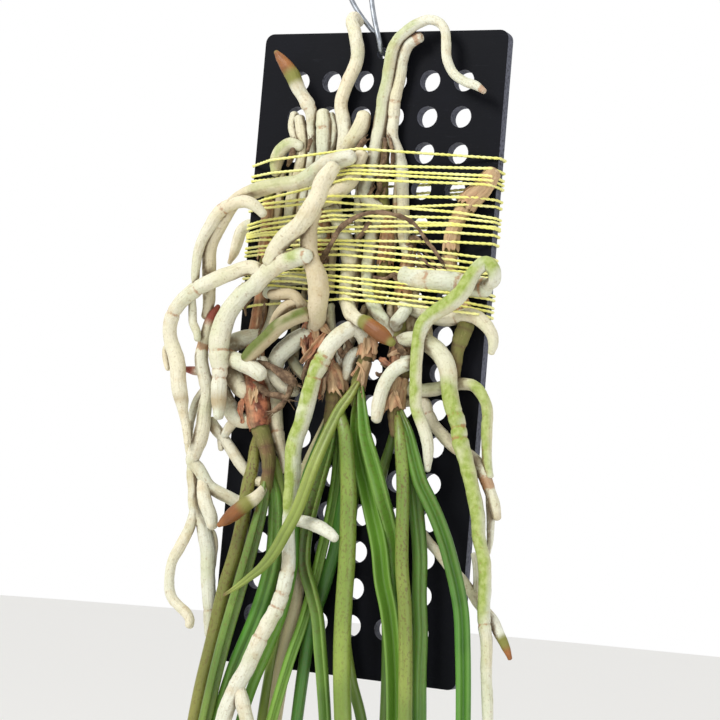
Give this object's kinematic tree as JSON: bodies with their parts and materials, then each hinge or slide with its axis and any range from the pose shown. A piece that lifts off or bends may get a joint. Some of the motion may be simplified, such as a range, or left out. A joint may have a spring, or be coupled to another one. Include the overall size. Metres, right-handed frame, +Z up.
{
  "type": "mounted seidenfadenia mitrata orchid",
  "caption": "Bare-root orchid with long pencil leaves, tied with twine to a perforated plastic plate that hangs from a wire hook.",
  "frame": {"origin": "inside the crown of the hanger's hook, where it rests on its rail", "axes": "+Z up, -Y out of the plate's planted front, +X to the right seen from the front"},
  "size_m": [0.1464, 0.0358, 0.622],
  "materials": {
    "plate": "black moulded plastic, lightly textured, dusty",
    "hanger": "galvanised wire, dull grey",
    "twine": "pale yellow twisted cotton twine",
    "stem": "dry, ringed with old leaf bases and papery sheaths",
    "root": "velvety pale skin, green where it is damp, brown cracks",
    "leaf": "green, waxy, grooved along one side",
    "leaf_old": "an ageing leaf, beige-olive, waxy",
    "dry": "dead and fibrous, brown"
  },
  "bodies": {
    "root": {"dry_spike": "dry", "dry_strands": "dry", "hanger": "hanger", "leaf_behind_centre": "leaf", "leaf_bright_low": "leaf", "leaf_centre": "leaf", "leaf_dark_middle": "leaf", "leaf_front": "leaf", "leaf_green_pair_a": "leaf", "leaf_green_pair_b": "leaf", "leaf_grooved": "leaf", "leaf_hidden_right": "leaf", "leaf_left_outer": "leaf", "leaf_left_second": "leaf", "leaf_left_third": "leaf", "leaf_light": "leaf", "leaf_old": "leaf_old", "leaf_olive_behind": "leaf", "leaf_right_outer": "leaf", "leaf_right_straight": "leaf", "leaf_speckled_right": "leaf", "plate": "plate", "root_arch": "root", "root_back_right": "root", "root_beside_arch": "root", "root_brown_tip": "root", "root_column_pale": "root", "root_cross_right": "root", "root_crossing": "root", "root_curved": "root", "root_diagonal": "root", "root_elbow_left": "root", "root_elbow_right": "root", "root_far_right": "root", "root_fork_left": "root", "root_green_right": "root", "root_grey_bound": "root", "root_group_left": "root", "root_knee_left": "root", "root_long_front": "root", "root_long_right": "root", "root_low_left": "root", "root_middle": "root", "root_outer_left": "root", "root_over_edge": "root", "root_pointed": "root", "root_stout": "root", "root_straight_low": "root", "root_striped": "root", "root_thick_low": "root", "root_through_hole": "root", "root_tip_left": "root", "root_top_fork": "root", "stem_centre": "stem", "stem_far_right": "stem", "stem_left": "stem", "stem_middle": "stem", "stem_right": "stem", "twine": "twine"}
  },
  "joints": []
}
